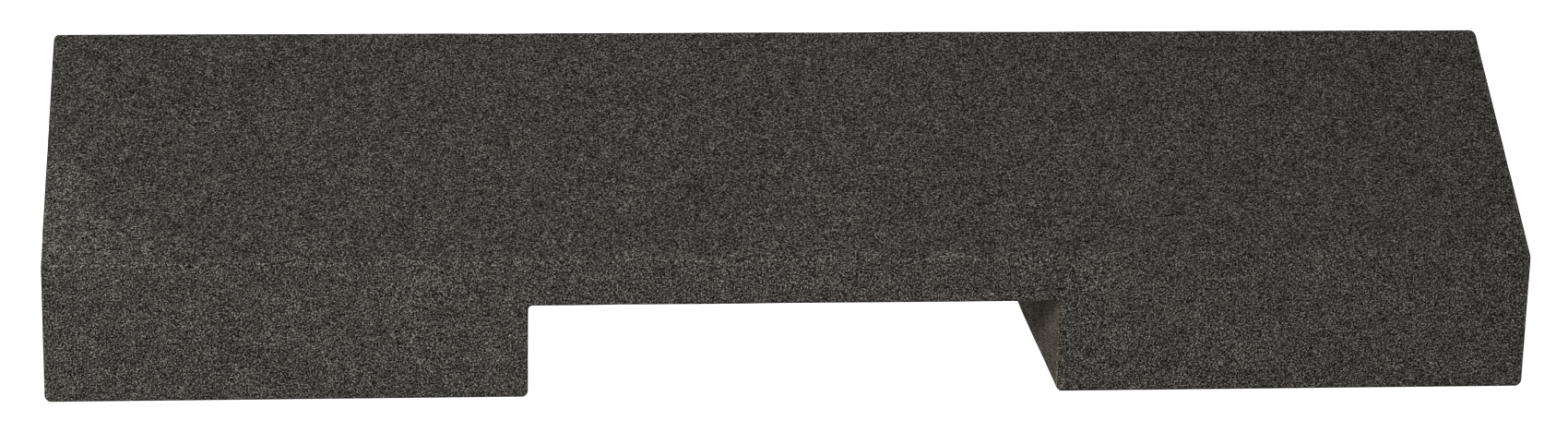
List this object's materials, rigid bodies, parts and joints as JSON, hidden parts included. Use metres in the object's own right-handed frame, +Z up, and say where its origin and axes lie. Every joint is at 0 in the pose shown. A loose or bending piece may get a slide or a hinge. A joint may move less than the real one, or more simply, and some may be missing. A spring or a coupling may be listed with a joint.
{
  "type": "truck loudspeaker enclosure",
  "caption": "Long carpeted wedge-section loudspeaker enclosure with a tunnel notch below, driver cut-outs in the upright rear baffle and recessed spring terminals.",
  "frame": {"origin": "centre of the footprint at the height of the leg bottoms", "axes": "+X along the width, -Y the low upright front, +Y the baffle with the driver cut-outs, +Z up"},
  "size_m": [1.5, 0.282, 0.3021],
  "materials": {
    "carpet": "needle-punched charcoal fibre",
    "board": "raw MDF",
    "cup_plastic": "fine texture",
    "gasket_foam": "closed-cell foam",
    "lever_red": "moulded",
    "lever_black": "moulded",
    "spring_steel": "spring temper",
    "contact_brass": "tinned",
    "screw_steel": "black oxide"
  },
  "bodies": {
    "enclosure": {"front_panel": "board", "top_panel": "board", "baffle_panel": "board", "end_panel_left": "board", "end_panel_right": "board", "bottom_panel_left": "board", "bottom_panel_right": "board", "tunnel_wall_left": "board", "tunnel_wall_right": "board", "tunnel_roof": "board", "centre_divider": "board", "carpet_wrap": "carpet", "carpet_end_left": "carpet", "carpet_end_right": "carpet", "carpet_bottom_left": "carpet", "carpet_bottom_right": "carpet", "carpet_tunnel": "carpet", "terminal_cup_left": "cup_plastic", "cup_gasket_left": "gasket_foam", "cup_screw_left_1": "screw_steel", "cup_screw_left_2": "screw_steel", "cup_screw_left_3": "screw_steel", "cup_screw_left_4": "screw_steel", "lever_spring_red_left": "spring_steel", "contact_red_left": "contact_brass", "lever_spring_black_left": "spring_steel", "contact_black_left": "contact_brass", "terminal_cup_right": "cup_plastic", "cup_gasket_right": "gasket_foam", "cup_screw_right_1": "screw_steel", "cup_screw_right_2": "screw_steel", "cup_screw_right_3": "screw_steel", "cup_screw_right_4": "screw_steel", "lever_spring_red_right": "spring_steel", "contact_red_right": "contact_brass", "lever_spring_black_right": "spring_steel", "contact_black_right": "contact_brass"},
    "lever_red_left": {"lever_red_left": "lever_red"},
    "lever_black_left": {"lever_black_left": "lever_black"},
    "lever_red_right": {"lever_red_right": "lever_red"},
    "lever_black_right": {"lever_black_right": "lever_black"}
  },
  "joints": [
    {"name": "lever_red_left_press", "type": "hinge", "parent": "enclosure", "child": "lever_red_left", "pos_m": [-0.3446, 0.1252, 0.0695], "axis": [-1, 0, 0], "range_deg": [0, 20], "stiffness_Nm_per_rad": 0.02, "springref_deg": -5.73, "deforming": ["lever_spring_red_left"]},
    {"name": "lever_black_left_press", "type": "hinge", "parent": "enclosure", "child": "lever_black_left", "pos_m": [-0.3274, 0.1252, 0.0695], "axis": [-1, 0, 0], "range_deg": [0, 20], "stiffness_Nm_per_rad": 0.02, "springref_deg": -5.73, "deforming": ["lever_spring_black_left"]},
    {"name": "lever_red_right_press", "type": "hinge", "parent": "enclosure", "child": "lever_red_right", "pos_m": [0.3274, 0.1252, 0.0695], "axis": [-1, 0, 0], "range_deg": [0, 20], "stiffness_Nm_per_rad": 0.02, "springref_deg": -5.73, "deforming": ["lever_spring_red_right"]},
    {"name": "lever_black_right_press", "type": "hinge", "parent": "enclosure", "child": "lever_black_right", "pos_m": [0.3446, 0.1252, 0.0695], "axis": [-1, 0, 0], "range_deg": [0, 20], "stiffness_Nm_per_rad": 0.02, "springref_deg": -5.73, "deforming": ["lever_spring_black_right"]}
  ]
}
